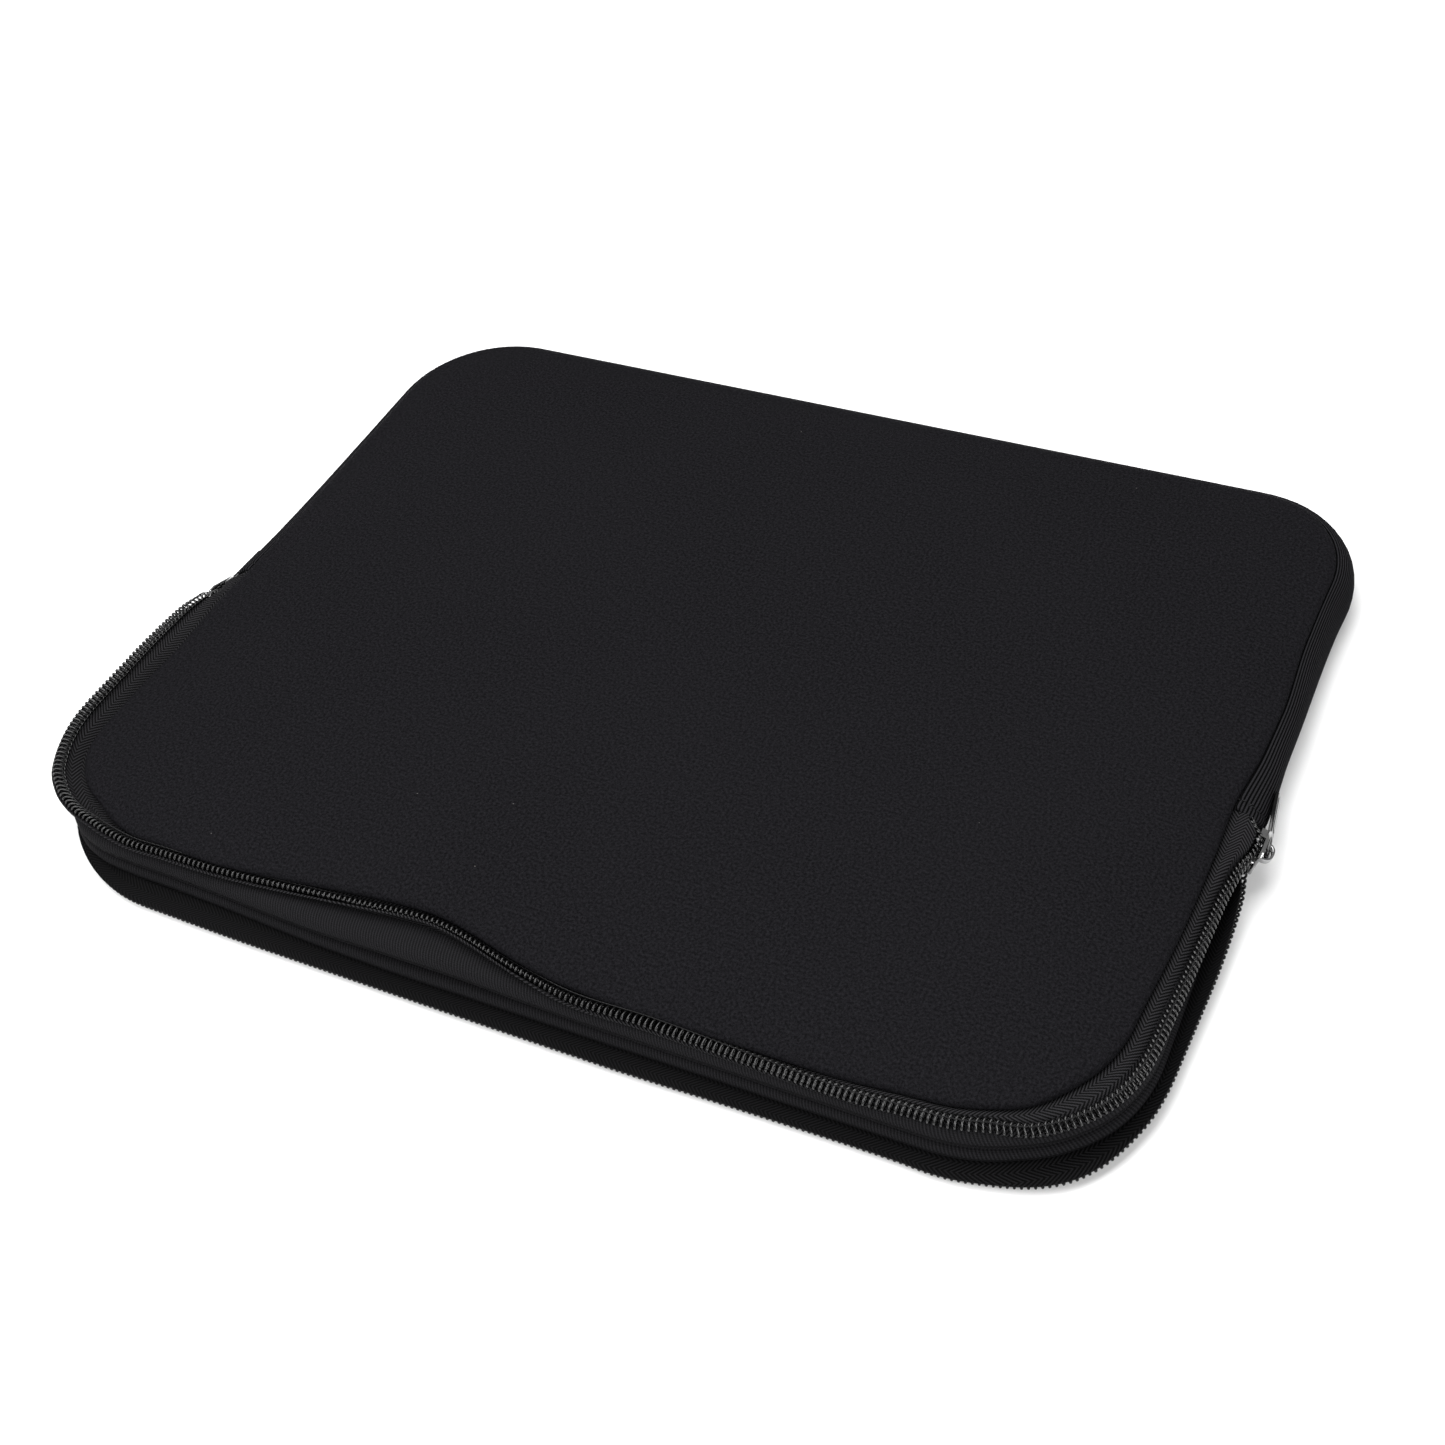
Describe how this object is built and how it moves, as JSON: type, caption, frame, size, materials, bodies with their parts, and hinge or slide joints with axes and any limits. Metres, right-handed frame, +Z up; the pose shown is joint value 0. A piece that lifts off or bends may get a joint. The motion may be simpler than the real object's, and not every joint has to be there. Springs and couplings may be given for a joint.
{
  "type": "laptop sleeve",
  "caption": "Soft padded flat case with rounded corners, a ribbed band round the back, and an open coil zipper with sliders and flat pulls round the front.",
  "frame": {"origin": "under the middle of the sleeve, on the surface it lies on", "axes": "+X along the long side, -Y towards the zipped mouth, +Z up"},
  "size_m": [0.3668, 0.2727, 0.0254],
  "materials": {
    "outer_knit": "matt smooth jersey knit",
    "foam": "closed-cell foam, matt",
    "lining": "matt brushed knit",
    "ribbed_band": "fine lengthwise ribs, matt",
    "binding": "fine ribbed knit, matt",
    "zipper_tape": "herringbone weave, slight sheen",
    "zipper_coil": "glossy nylon",
    "nickel": "bright nickel plate"
  },
  "bodies": {
    "base": {"bottom_outer_knit": "outer_knit", "bottom_foam_core": "foam", "bottom_lining": "lining", "gusset_band": "ribbed_band", "bottom_seam_binding": "binding", "top_rear_outer_knit": "outer_knit", "top_rear_foam_core": "foam", "top_rear_lining": "lining", "top_rear_seam_binding": "binding", "lower_zipper_tape": "zipper_tape", "lower_zipper_coil": "zipper_coil", "upper_tape_end_left": "zipper_tape", "upper_tape_end_right": "zipper_tape", "upper_coil_end_left": "zipper_coil", "upper_coil_end_right": "zipper_coil"},
    "flap": {"top_flap_outer_knit": "outer_knit", "top_flap_foam_core": "foam", "top_flap_lining": "lining", "top_flap_seam_binding": "binding", "upper_zipper_tape": "zipper_tape", "upper_zipper_coil": "zipper_coil"},
    "left_slider": {"left_slider_body": "nickel", "left_slider_bail": "nickel"},
    "right_slider": {"right_slider_body": "nickel", "right_slider_bail": "nickel"},
    "left_pull": {"left_puller": "nickel"},
    "right_pull": {"right_puller": "nickel"}
  },
  "joints": [
    {"name": "flap_bend", "type": "hinge", "parent": "base", "child": "flap", "pos_m": [0, -0.0255, 0.0255], "axis": [-1, 0, 0], "range_deg": [0, 75]},
    {"name": "left_slider_run", "type": "slide", "parent": "base", "child": "left_slider", "axis": [0, -1, 0], "range_m": [0, 0.05]},
    {"name": "right_slider_run", "type": "slide", "parent": "base", "child": "right_slider", "axis": [0, -1, 0], "range_m": [0, 0.05]},
    {"name": "left_pull_swing", "type": "hinge", "parent": "left_slider", "child": "left_pull", "pos_m": [-0.18044, -0.0155, 0.01053], "axis": [-0.342, 0, 0.9397], "range_deg": [0, 170]},
    {"name": "right_pull_swing", "type": "hinge", "parent": "right_slider", "child": "right_pull", "pos_m": [0.18044, -0.009, 0.01053], "axis": [-0.342, 0, -0.9397], "range_deg": [0, 170]}
  ]
}
